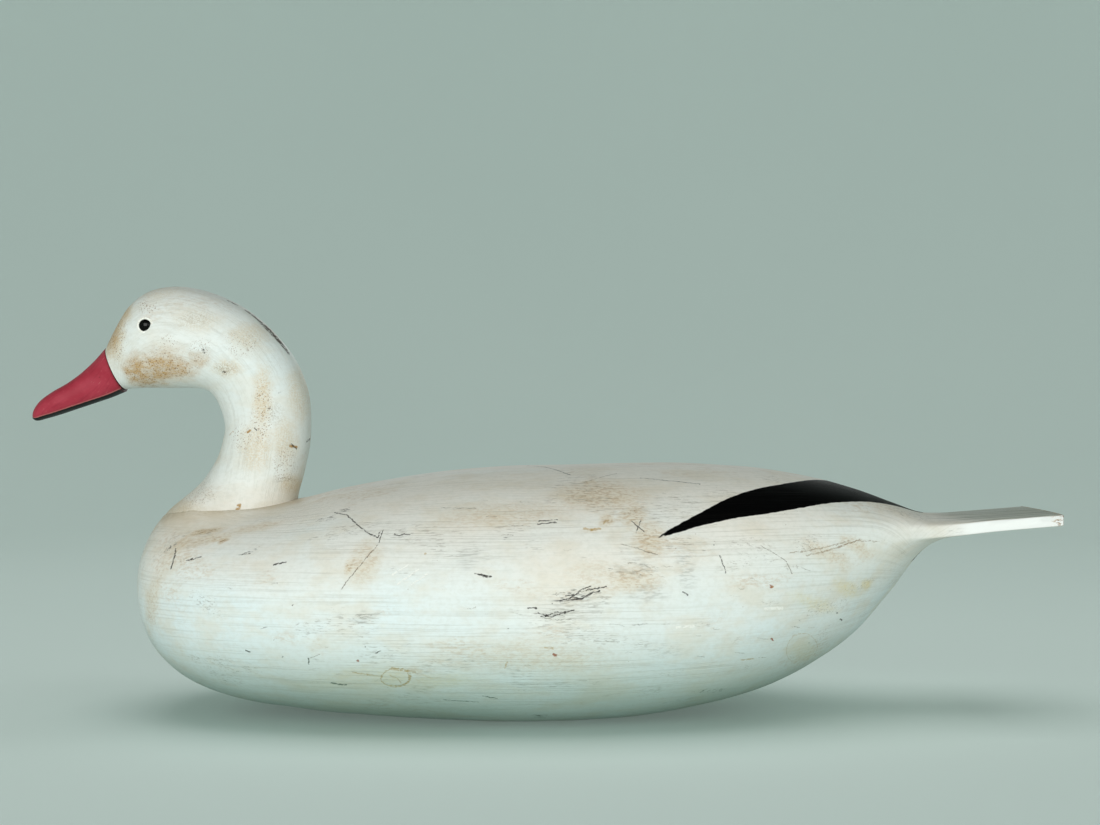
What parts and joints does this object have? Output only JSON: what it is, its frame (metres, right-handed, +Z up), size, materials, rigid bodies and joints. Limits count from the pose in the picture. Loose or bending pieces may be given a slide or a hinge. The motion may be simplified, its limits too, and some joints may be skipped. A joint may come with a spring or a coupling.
{
  "type": "goose decoy",
  "caption": "Hollow-carved, painted wooden goose decoy with a curved neck, inlet bill, glass eyes, flat bottom, flush lead weight and a swinging line ring.",
  "frame": {"origin": "on the surface it stands on, half way between the tip of the bill and the end of the tail, in the plane that divides left from right", "axes": "+Z up; -X the way the bill points; +X towards the tail; +Y the bird's right side"},
  "size_m": [0.687, 0.2346, 0.2865],
  "materials": {
    "white_paint": "aged white oil paint over fine-grained wood, satin to matt, with black wing patches",
    "red_paint": "aged rose-red oil paint over hardwood, satin",
    "eye_glass": "solid black glass, polished",
    "putty": "painted glazing putty, matt",
    "bare_wood": "bare turned dowel, matt",
    "lead": "poured lead, dull grey oxide",
    "brass": "tarnished brass"
  },
  "bodies": {
    "decoy": {"upper_body": "white_paint", "lower_body": "white_paint", "head_and_neck": "white_paint", "bill": "red_paint", "eye_left": "eye_glass", "eye_right": "eye_glass", "eye_putty_left": "putty", "eye_putty_right": "putty", "neck_dowel": "bare_wood", "neck_screw_front": "brass", "neck_screw_rear": "brass", "neck_washer_front": "brass", "neck_washer_rear": "brass", "body_peg_front": "bare_wood", "body_peg_rear": "bare_wood", "body_peg_left_front": "bare_wood", "body_peg_left_rear": "bare_wood", "body_peg_right_front": "bare_wood", "body_peg_right_rear": "bare_wood", "ballast_weight": "lead", "ballast_screw_front": "brass", "ballast_screw_rear": "brass", "line_tie_staple": "brass"},
    "line_ring": {"line_tie_ring": "brass"}
  },
  "joints": [
    {"name": "ring_swing", "type": "hinge", "parent": "decoy", "child": "line_ring", "pos_m": [-0.127, 0, 0.006], "axis": [0, 1, 0], "range_deg": [-14, 110]}
  ]
}
